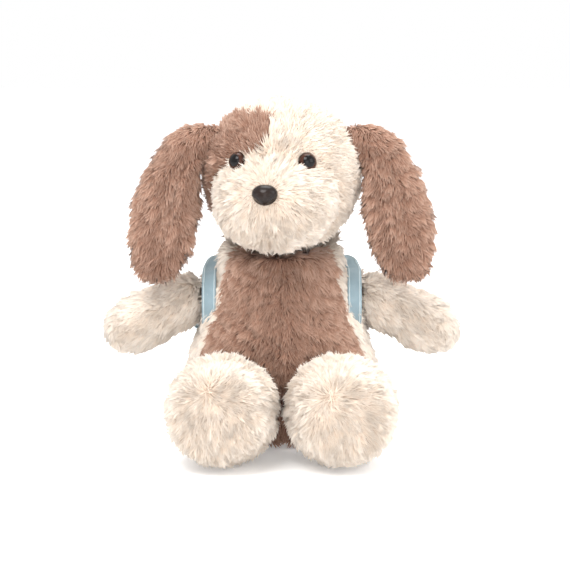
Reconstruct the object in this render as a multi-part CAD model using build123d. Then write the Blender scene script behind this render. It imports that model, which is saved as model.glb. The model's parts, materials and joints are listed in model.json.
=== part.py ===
from build123d import *
import math
import os

# A sitting stuffed dog: pile-fabric skins over fibre filling, floppy ears, sewn-on limbs and a small
# rucksack on woven straps. Millimetres, +Z up, the dog faces -Y and its own left side is +X.
# The origin is the centre of the flat seat, at the level the dog sits on.

# ---- Skins, seams and clearances ----
SKIN = 4.5             # pile fabric, backing and half the pile
FILL_GAP = 0.3         # between a skin and the filling that it holds
SEAM = 0.2             # between two panels that are sewn together
JOINT_GAP = 0.5        # between a limb's root and the seat it turns in

# ---- Torso: a pear, deeper at the belly than at the neck ----
TORSO_DEPTH = 0.78     # front-to-back size as a share of the width
TORSO_LEVELS = [(0.0, 50.0), (18.0, 59.5), (38.0, 61.0), (57.0, 58.0), (75.0, 50.0), (92.0, 44.0),
                (106.0, 40.5), (124.0, 36.5), (138.0, 33.0)]  # height and half the width there
SEAT_PANEL_Z = 3.2     # thickness of the panel that the dog sits on
TUMMY_EDGE_Y = -25.0   # where the tummy panel meets the side panels
TUMMY_EDGE_Z = 38.0    # at this height
TUMMY_EDGE_LEAN = 0.15
PELLETS_Z = 24.0       # top of the pellet bag in the seat

# ---- Head: a ball with a wide pillow of a muzzle, turned a little to the dog's right ----
HEAD_R = 49.5
HEAD_Y = -2.0
HEAD_Z = 167.0
FACE_YAW = -8.0
MUZZLE_HALF_WIDTH = 38.0
MUZZLE_R = 30.5
MUZZLE_FORWARD = 33.0
MUZZLE_DROP = 15.0
PATCH_EDGE_X = -5.0    # the brown patch ends here, beside the centre of the face
PATCH_TOP = 38.0       # and here, above the head's centre
FACE_BACK_Y = 6.0
TURN = 20.0            # how far the head turns each way
MUZZLE_SPREAD = 52.0   # half the angle that the muzzle spans, seen from the neck
NECK_R = 15.0
NECK_BASE_Z = 100.0

# ---- Eyes and nose: plastic, each on a shank held by a washer behind the skin ----
EYE_R = 6.3
EYE_DOME_R = 7.0
EYE_X = 22.5
EYE_UP = 17.0
NOSE_HALF_WIDTH = 8.5
NOSE_R = 6.2
NOSE_UP = 11.0
SHANK_R = 2.0
SHANK_LENGTH = 10.0
WASHER_R = 6.0
WASHER_THICK = 1.5
SHANK_PLAY = 0.1

# ---- Ears: centre line from root to tip, as distance from the head's axis, depth and height ----
EAR_LINE = [(49.0, -6.0, 197.0), (60.0, -9.0, 186.0), (67.0, -15.0, 165.0), (71.5, -20.0, 146.0),
            (75.0, -26.0, 125.0), (77.5, -30.5, 111.0), (78.0, -33.0, 103.5)]
EAR_HALF_WIDTHS = [5.0, 12.5, 18.5, 21.0, 19.5, 14.0, 6.0]
EAR_HALF_DEPTHS = [5.0, 7.0, 7.5, 8.0, 7.5, 6.0, 4.0]

# ---- Arms ----
SHOULDER = (61.0, 4.0, 87.0)
STUB_R = 17.8
STUB_END_X = 52.0
STUB_Z = 87.0
ARM_R = 18.0
PAW_R = 19.0
ARM_LENGTH = 57.0      # shoulder centre to the paw's tip
ARM_DROOP = 26.0
ARM_FORWARD = 8.0
ARM_ROOT_FILL_R = 11.5

# ---- Legs ----
HIP = (30.0, -43.0, 31.0)
FOOT_CENTRE = (35.6, -90.0, 34.0)
LEG_R = 26.0
FOOT_R = 34.8
LEG_LENGTH = 77.0      # hip centre to the front of the foot
SOLE_AT = 53.0         # where the foot's front panel begins, from the hip centre
LEG_ROOT_FILL_R = 19.0

# ---- Tail ----
TAIL_ROOT = (0.0, 50.3, 24.0)
TAIL_R = 8.0
TAIL_LENGTH = 40.0
TAIL_RISE = 32.0
TAIL_SKIN = 3.0

# ---- Rucksack and its straps ----
STRAP_WIDTH = 9.0
STRAP_THICK = 1.8
STRAP_CLEAR = 0.4
STRAP_X = 45.5
STRAP_BEND_R = 19.7
STRAP_TOP = [(19.0, 31.2, 104.0), (30.0, 26.0, 112.0), (42.0, 13.0, 113.0)]
STRAP_BOTTOM = [(54.0, 17.0, 68.0), (46.0, 33.0, 65.0), (27.0, 43.3, 61.5)]
PACK_WIDTH = 66.0
PACK_DEPTH = 20.0
PACK_HEIGHT = 50.0
PACK_WALL = 1.6
PACK_CORNER = 6.0
PACK_PLACE = (0.0, 47.5, 58.0)
PACK_LEAN = 16.0
FLAP_GAP = 0.4
FLAP_DROP = 28.0
HOOK_SIZE = (16.0, 10.0)
HOOK_THICK = 1.0

HEAD_CENTRE = Vector(0, HEAD_Y, HEAD_Z)
BIG = 600.0


def half_space(point, normal):
    """Everything on the side of the plane that its normal points to."""
    return Plane(origin=point, z_dir=normal) * Box(BIG, BIG, BIG, align=(Align.CENTER, Align.CENTER, Align.MIN))


def ball(centre, radius):
    """A sphere about a point."""
    return Pos(*centre) * Sphere(radius)


def mirrored(solid):
    """The dog's right-hand twin of a left-hand piece."""
    return mirror(solid, about=Plane.YZ)


def face_turn(solid):
    """Turn a piece of the face about the head's upright axis."""
    return solid.rotate(Axis(HEAD_CENTRE, (0, 0, 1)), FACE_YAW)


# ---- Torso ----
def torso_form(inset):
    """The pear-shaped torso, made smaller all round by the inset."""
    sections = []
    for height, half_width in TORSO_LEVELS:
        half = half_width - inset
        sections.append(Pos(0, 0, height) * Ellipse(half, half * TORSO_DEPTH))
    return loft(sections)


def half_torso(inset):
    """The left half of the torso with the short stump that the arm is sewn to, inside its strap."""
    half = torso_form(inset) & half_space((0, 0, 0), (1, 0, 0))
    start = STUB_END_X / 2
    length = STUB_END_X - start + inset
    stub = Cylinder(STUB_R - inset, length, align=(Align.CENTER, Align.CENTER, Align.MIN))
    return half + Plane(origin=(start, SHOULDER[1], STUB_Z), z_dir=(1, 0, 0)) * stub


def limb(root_radius, profile, inset):
    """A limb along +Z with a ball for its root, from (radius, distance) points to its rounded end."""
    root = root_radius - inset
    arc = ThreePointArc((0, 0, -root), (root * math.sin(math.pi / 4), 0, -root * math.cos(math.pi / 4)),
                        (root, 0, 0))
    length = profile[-1][1]
    reach = (length - inset) / length
    points = [(root, 0, 0)] + [(radius - inset, 0, distance * reach) for radius, distance in profile[:-1]]
    points += [(0, 0, length - inset)]
    side = Spline(points, tangents=[(0, 0, 1), (-1, 0, 0)])
    closing = Line(side @ 1, arc @ 0)
    return revolve(make_face(Wire([arc, side, closing])), Axis.Z, 360)


def arm_form(inset):
    """The left arm's outer form, made smaller all round by the inset."""
    profile = [(ARM_R + 0.5, 20.0), (PAW_R, 38.0), (PAW_R * 0.7, ARM_LENGTH - 6.0), (0, ARM_LENGTH)]
    return arm_plane() * limb(ARM_R, profile, inset)


def arm_plane():
    """The plane at the left shoulder whose normal runs along the arm."""
    fall = math.radians(ARM_DROOP)
    swing = math.radians(ARM_FORWARD)
    along = (math.cos(fall) * math.cos(swing), -math.cos(fall) * math.sin(swing), -math.sin(fall))
    return Plane(origin=SHOULDER, z_dir=along)


def leg_plane():
    """The plane at the left hip whose normal runs along the leg."""
    return Plane(origin=HIP, z_dir=Vector(*FOOT_CENTRE) - Vector(*HIP))


def leg_form(inset):
    """The left leg and foot, flat where the foot rests."""
    profile = [(LEG_R, 10.0), (LEG_R + 5.0, 26.0), (FOOT_R, 46.0), (FOOT_R * 0.84, 66.0), (0, LEG_LENGTH)]
    leg = leg_plane() * limb(LEG_R, profile, inset)
    return leg & half_space((0, 0, inset), (0, 0, 1))


def muzzle_room():
    """The ring that the muzzle sweeps as the head turns."""
    section = Plane.YZ * Pos(-MUZZLE_FORWARD, HEAD_Z - MUZZLE_DROP) * Circle(MUZZLE_R + 2 * JOINT_GAP)
    half = TURN - FACE_YAW + MUZZLE_SPREAD
    start = section.face().rotate(Axis.Z, -half)
    return Pos(0, HEAD_Y, 0) * revolve(start, Axis.Z, 2 * half)


def strap(clear=0.0):
    """The left strap: over the shoulder, round the front of the stub and back under the arm."""
    bend = [(STRAP_X, SHOULDER[1] - STRAP_BEND_R * math.sin(math.radians(a)),
             STUB_Z + STRAP_BEND_R * math.cos(math.radians(a))) for a in range(0, 181, 20)]
    points = [Vector(*p) for p in STRAP_TOP + bend + STRAP_BOTTOM]
    sections = []
    for i, point in enumerate(points):
        before = points[max(i - 1, 0)]
        after = points[min(i + 1, len(points) - 1)]
        plane = Plane(origin=point, x_dir=(1, 0, 0), z_dir=after - before)
        sections.append(plane * Rectangle(STRAP_WIDTH + 2 * clear, STRAP_THICK + 2 * clear))
    return loft(sections, ruled=True)


def torso_room():
    """All that the left half of the torso makes room for."""
    neck = Cylinder(NECK_R + JOINT_GAP, HEAD_R, align=(Align.CENTER, Align.CENTER, Align.MIN))
    return [ball(HEAD_CENTRE, HEAD_R + JOINT_GAP), muzzle_room(), Pos(0, HEAD_Y, NECK_BASE_Z) * neck,
            ball(TAIL_ROOT, TAIL_R + JOINT_GAP), ball(SHOULDER, ARM_R + JOINT_GAP), strap(STRAP_CLEAR),
            ball(HIP, LEG_R + JOINT_GAP)]


def torso_parts():
    """The torso's sewn panels and what they hold, made for the left and mirrored."""
    room = torso_room()
    outer = half_torso(0)
    filling = half_torso(SKIN + FILL_GAP)
    for cut in room:
        outer -= cut
        filling -= cut
    skin = outer - half_torso(SKIN)
    skin &= half_space((SEAM / 2, 0, SEAT_PANEL_Z + SEAM), (0, 0, 1))
    skin &= half_space((SEAM / 2, 0, 0), (1, 0, 0))
    tummy = skin & half_space((0, TUMMY_EDGE_Y, TUMMY_EDGE_Z), (0, -1, TUMMY_EDGE_LEAN))
    side = skin & half_space((0, TUMMY_EDGE_Y + SEAM, TUMMY_EDGE_Z), (0, 1, -TUMMY_EDGE_LEAN))
    seat = outer & half_space((0, 0, SEAT_PANEL_Z), (0, 0, -1))
    fibre = filling & half_space((0, 0, PELLETS_Z + FILL_GAP), (0, 0, 1))
    pellets = filling & half_space((0, 0, PELLETS_Z), (0, 0, -1))
    pellets &= half_space((0, 0, SEAT_PANEL_Z + FILL_GAP), (0, 0, 1))
    return {
        "tummy_panel_left": tummy,
        "tummy_panel_right": mirrored(tummy),
        "side_panel_left": side,
        "side_panel_right": mirrored(side),
        "seat_panel": seat + mirrored(seat),
        "torso_filling": fibre + mirrored(fibre),
        "seat_pellet_bag": pellets + mirrored(pellets),
    }


def neck_filling():
    """The plug of filling that the head turns on."""
    plug = Pos(0, HEAD_Y, NECK_BASE_Z + FILL_GAP) * Cylinder(
        NECK_R, HEAD_R, align=(Align.CENTER, Align.CENTER, Align.MIN))
    return plug - ball(HEAD_CENTRE, HEAD_R + JOINT_GAP)


# ---- Head ----
def muzzle_form(inset):
    """The muzzle: a spheroid that is longest from side to side."""
    half = MUZZLE_HALF_WIDTH - inset
    radius = MUZZLE_R - inset
    spheroid = scale(Sphere(1), by=(half, radius, radius))
    return Pos(muzzle_centre()) * spheroid


def muzzle_centre():
    """The middle of the muzzle before the face is turned."""
    return HEAD_CENTRE + Vector(0, -MUZZLE_FORWARD, -MUZZLE_DROP)


def eye_plane(side):
    """The plane on the head where an eye sits, its normal pointing outward."""
    forward = -math.sqrt(HEAD_R ** 2 - EYE_X ** 2 - EYE_UP ** 2)
    outward = Vector(side * EYE_X, forward, EYE_UP)
    return Plane(origin=HEAD_CENTRE + outward, z_dir=outward)


def nose_plane():
    """The plane on the muzzle where the nose sits, its normal pointing outward."""
    outward = Vector(0, -math.sqrt(MUZZLE_R ** 2 - NOSE_UP ** 2), NOSE_UP)
    return Plane(origin=muzzle_centre() + outward, x_dir=(1, 0, 0), z_dir=outward)


def shank(radius, length=SHANK_LENGTH):
    """A shank running inward from the plane of its eye or nose."""
    return Cylinder(radius, length, align=(Align.CENTER, Align.CENTER, Align.MAX))


def washer():
    """The washer that grips a shank behind the skin."""
    ring = Cylinder(WASHER_R, WASHER_THICK) - Cylinder(SHANK_R + SHANK_PLAY, WASHER_THICK)
    return Pos(0, 0, -SKIN - 2 * FILL_GAP - 1.4 * WASHER_THICK) * ring


def washer_pocket():
    """The room in the filling for a washer and its shank."""
    pocket = Cylinder(WASHER_R + FILL_GAP, SKIN + 3 * WASHER_THICK, align=(Align.CENTER, Align.CENTER, Align.MAX))
    return pocket + shank(SHANK_R + FILL_GAP, SHANK_LENGTH + FILL_GAP)


def eye():
    """A domed eye on its shank."""
    dome = Pos(0, 0, -math.sqrt(EYE_DOME_R ** 2 - EYE_R ** 2)) * Sphere(EYE_DOME_R)
    cap = dome & half_space((0, 0, SEAM), (0, 0, 1))
    return cap + Pos(0, 0, 2 * SEAM) * shank(SHANK_R, SHANK_LENGTH + 2 * SEAM)


def nose(muzzle_outer):
    """A rounded nose that hugs the muzzle, on its shank."""
    lump = nose_plane() * scale(Sphere(1), by=(NOSE_HALF_WIDTH, NOSE_R, NOSE_R))
    return lump - muzzle_outer + nose_plane() * Pos(0, 0, NOSE_R / 2) * shank(SHANK_R, SHANK_LENGTH + NOSE_R / 2)


def head_parts():
    """The head's sewn panels, its eyes and nose, and its filling."""
    skull = ball(HEAD_CENTRE, HEAD_R)
    muzzle_outer = muzzle_form(0)
    muzzle_seam = muzzle_form(-SEAM)
    left_eye = eye_plane(1)
    right_eye = eye_plane(-1)
    hole = Cylinder(SHANK_R + SHANK_PLAY, 2 * SHANK_LENGTH)
    shafts = [plane * hole for plane in (left_eye, right_eye, nose_plane())]
    pockets = [plane * washer_pocket() for plane in (left_eye, right_eye, nose_plane())]
    neck_opening = Pos(0, HEAD_Y, HEAD_Z) * Cylinder(NECK_R, BIG, align=(Align.CENTER, Align.CENTER, Align.MAX))
    skin = skull - ball(HEAD_CENTRE, HEAD_R - SKIN) - muzzle_seam - neck_opening
    muzzle = muzzle_outer - muzzle_form(SKIN) - ball(HEAD_CENTRE, HEAD_R - SKIN)
    filling = ball(HEAD_CENTRE, HEAD_R - SKIN - FILL_GAP) + muzzle_form(SKIN + FILL_GAP)
    for shaft in shafts:
        skin -= shaft
        muzzle -= shaft
    for pocket in pockets:
        filling -= pocket
    front = skin & half_space((0, FACE_BACK_Y - SEAM, 0), (0, -1, 0))
    back = skin & half_space((0, FACE_BACK_Y, 0), (0, 1, 0))
    patch_box = Pos(PATCH_EDGE_X, 0, HEAD_Z + PATCH_TOP) * Box(BIG, BIG, BIG, align=(Align.MAX, Align.CENTER,
                                                                                     Align.MAX))
    patch_seam = Pos(PATCH_EDGE_X + SEAM, 0, HEAD_Z + PATCH_TOP + SEAM) * Box(
        BIG, BIG, BIG, align=(Align.MAX, Align.CENTER, Align.MAX))
    face = {
        "face_patch_panel": front & patch_box,
        "forehead_panel": front - patch_seam,
        "back_head_panel_left": back & half_space((SEAM / 2, 0, 0), (1, 0, 0)),
        "back_head_panel_right": back & half_space((-SEAM / 2, 0, 0), (-1, 0, 0)),
        "muzzle_panel": muzzle,
        "head_filling": filling,
        "left_eye": left_eye * eye(),
        "right_eye": right_eye * eye(),
        "nose": nose(muzzle_form(-SEAM / 2)),
        "left_eye_washer": left_eye * washer(),
        "right_eye_washer": right_eye * washer(),
        "nose_washer": nose_plane() * washer(),
    }
    return {name: face_turn(solid) for name, solid in face.items()}


def ear_parts():
    """The left ear's two layers, split along its centre line."""
    points = [Vector(*p) for p in EAR_LINE]
    sections = []
    for i, (point, wide, deep) in enumerate(zip(points, EAR_HALF_WIDTHS, EAR_HALF_DEPTHS)):
        before = points[max(i - 1, 0)]
        after = points[min(i + 1, len(points) - 1)]
        plane = Plane(origin=point, x_dir=(0, 1, 0), z_dir=after - before)
        sections.append(plane * Ellipse(deep, wide))
    ear = loft(sections)
    lean = math.atan2(EAR_LINE[1][1] - EAR_LINE[-1][1], EAR_LINE[1][2] - EAR_LINE[-1][2])
    front = Vector(0, -math.cos(lean), math.sin(lean))
    middle = (points[1] + points[-1]) / 2
    return {
        "outer": ear & half_space(middle + front * (SEAM / 2), front),
        "lining": ear & half_space(middle - front * (SEAM / 2), front * -1),
    }


# ---- Limbs ----
def arm_parts():
    """The left arm's two panels and its filling."""
    skin = arm_form(0) - arm_form(SKIN)
    along = arm_plane().z_dir
    beyond_root = half_space(Vector(*SHOULDER) + along * (ARM_ROOT_FILL_R + FILL_GAP), along)
    upward = Vector(math.sin(math.radians(ARM_DROOP)), 0, math.cos(math.radians(ARM_DROOP)))
    return {
        "upper_panel": skin & half_space(Vector(*SHOULDER) + upward * (SEAM / 2), upward),
        "lower_panel": skin & half_space(Vector(*SHOULDER) - upward * (SEAM / 2), upward * -1),
        "filling": arm_form(SKIN + FILL_GAP) & beyond_root,
        "root_filling": ball(SHOULDER, ARM_ROOT_FILL_R),
    }


def leg_parts():
    """The left leg's panels and its filling."""
    skin = leg_form(0) - leg_form(SKIN)
    along = leg_plane().z_dir
    hip = Vector(*HIP)
    upward = Vector(0, 0, 1)
    upper = half_space(hip + upward * (SEAM / 2), upward)
    lower = half_space(hip - upward * (SEAM / 2), upward * -1)
    sole = half_space(hip + along * (SOLE_AT + SEAM), along)
    behind_sole = half_space(hip + along * SOLE_AT, along * -1)
    tube = skin & behind_sole
    beyond_root = half_space(hip + along * (LEG_ROOT_FILL_R + FILL_GAP), along)
    return {
        "upper_panel": tube & upper,
        "lower_panel": tube & lower,
        "sole_panel": skin & sole,
        "filling": leg_form(SKIN + FILL_GAP) & beyond_root,
        "root_filling": ball(HIP, LEG_ROOT_FILL_R),
    }


def tail_parts():
    """The tail's two panels and its filling."""
    rise = math.radians(TAIL_RISE)
    plane = Plane(origin=TAIL_ROOT, z_dir=(0, math.cos(rise), math.sin(rise)))
    profile = [(TAIL_R - 0.2, 14.0), (TAIL_R - 1.5, 28.0), (0, TAIL_LENGTH)]
    skin = plane * limb(TAIL_R, profile, 0) - plane * limb(TAIL_R, profile, TAIL_SKIN)
    return {
        "tail_panel_left": skin & half_space((SEAM / 2, 0, 0), (1, 0, 0)),
        "tail_panel_right": skin & half_space((-SEAM / 2, 0, 0), (-1, 0, 0)),
        "tail_filling": plane * limb(TAIL_R, profile, TAIL_SKIN + FILL_GAP),
    }


# ---- Rucksack ----
def pack_parts():
    """The open pouch, its flap and the hook-and-loop patches that close it."""
    place = Pos(*PACK_PLACE) * Rot(X=PACK_LEAN)
    low = (Align.CENTER, Align.MIN, Align.MIN)
    block = Box(PACK_WIDTH, PACK_DEPTH, PACK_HEIGHT, align=low)
    block = fillet(block.edges().filter_by(Axis.Z), PACK_CORNER)
    hollow = Pos(0, PACK_WALL, PACK_WALL) * Box(
        PACK_WIDTH - 2 * PACK_WALL, PACK_DEPTH - 2 * PACK_WALL, PACK_HEIGHT, align=low)
    hollow = fillet(hollow.edges().filter_by(Axis.Z), PACK_CORNER - PACK_WALL)
    flap_depth = PACK_DEPTH + HOOK_THICK * 2 + FLAP_GAP * 2
    flap_top = PACK_HEIGHT + FLAP_GAP
    lid = Pos(0, 0, flap_top) * Box(PACK_WIDTH, flap_depth + PACK_WALL, PACK_WALL, align=low)
    drop = Pos(0, flap_depth, flap_top - FLAP_DROP) * Box(PACK_WIDTH, PACK_WALL, FLAP_DROP, align=low)
    hook_z = flap_top - FLAP_DROP + 2
    patch = Box(HOOK_SIZE[0], HOOK_THICK, HOOK_SIZE[1], align=low)
    return {
        "rucksack_pouch": place * (block - hollow),
        "rucksack_flap": place * (lid + drop),
        "flap_hook_patch": place * Pos(0, flap_depth - HOOK_THICK, hook_z) * patch,
        "pouch_loop_patch": place * Pos(0, PACK_DEPTH, hook_z) * patch,
    }


def all_parts():
    """Every piece of the dog by the name of its node."""
    parts = torso_parts() | {"neck_filling": neck_filling()} | head_parts()
    parts |= tail_parts() | pack_parts()
    handed = {"ear_" + key: solid for key, solid in ear_parts().items()}
    handed |= {"arm_" + key: solid for key, solid in arm_parts().items()}
    handed |= {"leg_" + key: solid for key, solid in leg_parts().items()}
    handed["shoulder_strap"] = strap()
    for name, solid in handed.items():
        parts["left_" + name] = solid
        parts["right_" + name] = mirrored(solid)
    return parts


os.makedirs("parts", exist_ok=True)
for node, solid in all_parts().items():
    export_step(solid, f"parts/{node}.step")
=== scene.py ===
"""A sitting stuffed dog: combed pile over soft forms, plastic eyes and nose, and a small rucksack."""

import json
import logging
import math
from dataclasses import dataclass, field
from enum import Enum
from typing import Callable, ClassVar, Sequence

import bpy
import numpy as np
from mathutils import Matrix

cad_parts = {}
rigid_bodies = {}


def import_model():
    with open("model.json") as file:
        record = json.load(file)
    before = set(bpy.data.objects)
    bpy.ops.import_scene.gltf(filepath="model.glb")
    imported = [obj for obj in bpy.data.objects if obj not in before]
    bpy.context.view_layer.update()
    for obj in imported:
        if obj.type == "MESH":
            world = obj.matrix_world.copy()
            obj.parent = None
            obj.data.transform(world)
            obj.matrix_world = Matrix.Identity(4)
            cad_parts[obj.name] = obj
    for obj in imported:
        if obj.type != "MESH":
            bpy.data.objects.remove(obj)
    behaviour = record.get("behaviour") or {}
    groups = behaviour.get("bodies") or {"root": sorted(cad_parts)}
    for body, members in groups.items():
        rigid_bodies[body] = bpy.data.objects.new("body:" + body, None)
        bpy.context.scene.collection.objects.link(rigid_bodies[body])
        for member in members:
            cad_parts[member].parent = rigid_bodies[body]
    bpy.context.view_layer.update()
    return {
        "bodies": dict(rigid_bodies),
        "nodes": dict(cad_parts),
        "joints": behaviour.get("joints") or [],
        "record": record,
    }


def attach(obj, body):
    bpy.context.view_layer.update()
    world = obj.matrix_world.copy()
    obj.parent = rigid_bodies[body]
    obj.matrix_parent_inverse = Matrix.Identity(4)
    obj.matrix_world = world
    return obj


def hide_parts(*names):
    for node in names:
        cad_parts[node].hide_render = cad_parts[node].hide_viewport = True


MM = 0.001
PUFF_FRAMES = 20  # how long the cloth simulation runs
TUFT_POINTS = 4  # vertices in a tuft
DARKEST, BRIGHTEST = 0.78, 1.18  # ends of the tufts' shade factor: random tone, with painted light on raised clumps
LOG = logging.getLogger("stuffed_dog")
Array = np.ndarray
Piece = bpy.types.Object
Material = bpy.types.Material
Node = bpy.types.Node
Tree = bpy.types.NodeTree
Socket = bpy.types.NodeSocket
Colour = tuple[float, float, float]
Point = tuple[float, float, float]
Field = Callable[[Array], Array]


class Side(Enum):
    """The dog's own sides, with the sign of X on each."""

    LEFT = 1
    RIGHT = -1

    @property
    def word(self) -> str:
        """The side's name as it starts a node's name."""
        return self.name.lower()

    def mirror(self, place: Point) -> Array:
        """A place given for the left side, on this side."""
        return np.array(place) * np.array([self.value, 1, 1])


# ---- Finishes ----
@dataclass(frozen=True)
class PileCloth:
    """Long pile: its colours from root to tip, darker at the root with painted shade, and how its tufts stand.

    Attributes:
        name: the record's slot, which names the materials too.
        root: linear colour at the root, painted shade deep between the tufts.
        middle: linear colour half-way up.
        tip: linear colour at the tips.
        length: tuft length in metres.
        width: tuft width at the root in metres.
        lift: how far a tuft stands off the cloth, from 0 for flat to 1 for upright.
        density: tufts in a square millimetre.
    """

    name: str
    root: Colour
    middle: Colour
    tip: Colour
    length: float = 6.8 * MM
    width: float = 0.62 * MM
    lift: float = 0.34
    density: float = 2.5

    def tufts(self) -> Material:
        """The material of the tufts, darker toward the root with painted shade, and a little different from tuft to
        tuft, with painted light on raised clumps.
        """
        material, tree, shader = new_material(self.name + "_tufts")
        # painted shade: the colour darkens from the tips down to the roots, deep in the pile
        stops = [(0.0, self.root), (0.5, self.middle), (1.0, self.tip)]
        colour = ramp_node(tree, attribute_node(tree, "along"), stops)
        join(tree, value_node(tree, colour, attribute_node(tree, "shade")), shader.inputs["Base Color"])
        set_inputs(shader, {"Roughness": 0.8, "Specular IOR Level": 0.2, "Sheen Weight": 0.15,
                            "Sheen Roughness": 0.4})
        return material

    def backing(self) -> Material:
        """The knitted backing that shows between the tufts, in the pile's root colour: painted shade between the
        tufts.
        """
        material, tree, shader = new_material(self.name + "_backing")
        knit = tree.nodes.new("ShaderNodeTexVoronoi")
        knit.inputs["Scale"].default_value = 800.0
        join(tree, place_socket(tree), knit.inputs["Vector"])
        dark = tuple(part * 0.75 for part in self.root)
        # painted shade: the backing's colour is the pile's dark root colour
        colour = ramp_node(tree, knit.outputs["Distance"], [(0.0, self.root), (0.8, dark)])
        join(tree, colour, shader.inputs["Base Color"])
        add_bump(tree, knit.outputs["Distance"], shader, 0.4, 0.2 * MM)
        shader.inputs["Roughness"].default_value = 0.95
        return material


# The root colours are painted shade deep in the pile; BROWN's middle is darkened with painted shade meant for the
# tummy, and every brown pile shares it.
CREAM = PileCloth("cream_pile", (0.70, 0.54, 0.42), (0.88, 0.755, 0.635), (0.955, 0.86, 0.765))
BROWN = PileCloth("brown_pile", (0.115, 0.052, 0.032), (0.385, 0.215, 0.15), (0.66, 0.445, 0.345))


@dataclass(frozen=True)
class Gloss:
    """Moulded glossy plastic in rings from the middle out.

    Attributes:
        name: the material's name.
        rings: places from 0 at the middle to 1 at the edge, with linear colours.
        roughness: the plastic's own roughness.
    """

    name: str
    rings: tuple[tuple[float, Colour], ...]
    roughness: float = 0.12

    def material(self) -> Material:
        """A hard clear surface over the rings, with faint scuffs."""
        material, tree, shader = new_material(self.name)
        colour = ramp_node(tree, attribute_node(tree, "ring"), self.rings)
        join(tree, colour, shader.inputs["Base Color"])
        scuffs = range_node(tree, noise_node(tree, 900.0, 3.0),
                            wanted=(self.roughness * 0.7, self.roughness * 1.5))
        join(tree, scuffs, shader.inputs["Roughness"])
        shader.inputs["IOR"].default_value = 1.33
        return material


@dataclass(frozen=True)
class WovenCloth:
    """Woven cloth or webbing.

    Attributes:
        name: the record's slot, which names the material too.
        light: linear colour of the raised threads.
        dark: linear colour between them, painted shade in the weave's hollows.
        threads: how close the threads lie, in radians of the weave's wave in a metre.
        depth: height of the weave in metres.
    """

    name: str
    light: Colour
    dark: Colour
    threads: float = 5000.0
    depth: float = 0.25 * MM

    def material(self) -> Material:
        """Crossed threads with slubs, darker in the weave's hollows with painted shade, and faded unevenly."""
        material, tree, shader = new_material(self.name)
        weave = tree.nodes.new("ShaderNodeGroup")
        weave.node_tree = weave_group()
        weave.inputs["Threads"].default_value = self.threads
        # painted shade: the colour darkens where the weave is low
        colour = ramp_node(tree, weave.outputs["Height"], [(0.1, self.dark), (0.75, self.light)])
        join(tree, value_node(tree, colour, weave.outputs["Fade"]), shader.inputs["Base Color"])
        add_bump(tree, weave.outputs["Height"], shader, 0.7, self.depth)
        set_inputs(shader, {"Roughness": 0.85, "Sheen Weight": 0.2, "Specular IOR Level": 0.25})
        return material


# Each cloth's dark colour is painted shade between its threads.
WEBBING = WovenCloth("strap_webbing", (0.30, 0.40, 0.45), (0.17, 0.25, 0.29), 5000.0, 0.35 * MM)
CANVAS = WovenCloth("pack_cloth", (0.28, 0.385, 0.44), (0.17, 0.26, 0.305), 6500.0, 0.2 * MM)
THREAD = WovenCloth("pack_thread", (0.62, 0.72, 0.74), (0.38, 0.50, 0.53), 9000.0, 0.1 * MM)
HOOK_TAPE = WovenCloth("hook_tape", (0.30, 0.42, 0.47), (0.08, 0.13, 0.15), 8000.0, 0.5 * MM)
FIBRE = WovenCloth("fibre_fill", (0.90, 0.90, 0.88), (0.62, 0.61, 0.58), 1500.0, 1.2 * MM)
PELLET_CLOTH = WovenCloth("pellet_bag", (0.82, 0.80, 0.74), (0.55, 0.52, 0.46), 6000.0, 0.3 * MM)
EYE_GLOSS = Gloss("eye_plastic", ((0.0, (0.004, 0.003, 0.003)), (0.56, (0.004, 0.003, 0.003)),
                                  (0.68, (0.060, 0.020, 0.010)), (0.86, (0.034, 0.012, 0.007)),
                                  (0.97, (0.006, 0.004, 0.003))), 0.06)
NOSE_GLOSS = Gloss("nose_plastic", ((0.0, (0.022, 0.012, 0.009)), (1.0, (0.010, 0.006, 0.005))), 0.22)
WASHER_GLOSS = Gloss("washer_plastic", ((0.0, (0.80, 0.80, 0.78)), (1.0, (0.72, 0.72, 0.70))), 0.4)

Region = tuple[str, PileCloth, Field, tuple[str, ...]]


def join(tree: Tree, source: Socket, target: Socket) -> None:
    """Join one socket to another."""
    tree.links.new(source, target)


def new_material(name: str) -> tuple[Material, Tree, Node]:
    """Make an empty material with a Principled shader.

    Args:
        name: the material's name.

    Returns:
        The material, its node tree and its shader node.
    """
    material = bpy.data.materials.new(name)
    material.use_nodes = True
    tree = material.node_tree
    tree.nodes.clear()
    shader = tree.nodes.new("ShaderNodeBsdfPrincipled")
    output = tree.nodes.new("ShaderNodeOutputMaterial")
    join(tree, shader.outputs[0], output.inputs[0])
    return material, tree, shader


def set_inputs(node: Node, values: dict[str, float]) -> None:
    """Set plain numbers on a node's sockets."""
    for name, value in values.items():
        node.inputs[name].default_value = value


def attribute_node(tree: Tree, name: str) -> Socket:
    """Add a node that reads one number from the mesh, and return its socket."""
    node = tree.nodes.new("ShaderNodeAttribute")
    node.attribute_name = name
    return node.outputs["Fac"]


def place_socket(tree: Tree) -> Socket:
    """The piece's own coordinates."""
    return tree.nodes.new("ShaderNodeTexCoord").outputs["Object"]


def noise_node(tree: Tree, scale: float, detail: float) -> Socket:
    """Add noise on the piece's own coordinates, and return its socket."""
    noise = tree.nodes.new("ShaderNodeTexNoise")
    set_inputs(noise, {"Scale": scale, "Detail": detail})
    join(tree, place_socket(tree), noise.inputs["Vector"])
    return noise.outputs[0]


def math_node(tree: Tree, operation: str, *values: Socket | float) -> Socket:
    """Add a sum on sockets and plain numbers, and return its socket."""
    node = tree.nodes.new("ShaderNodeMath")
    node.operation = operation
    for number, value in enumerate(values):
        if isinstance(value, float):
            node.inputs[number].default_value = value
        else:
            join(tree, value, node.inputs[number])
    return node.outputs[0]


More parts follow.
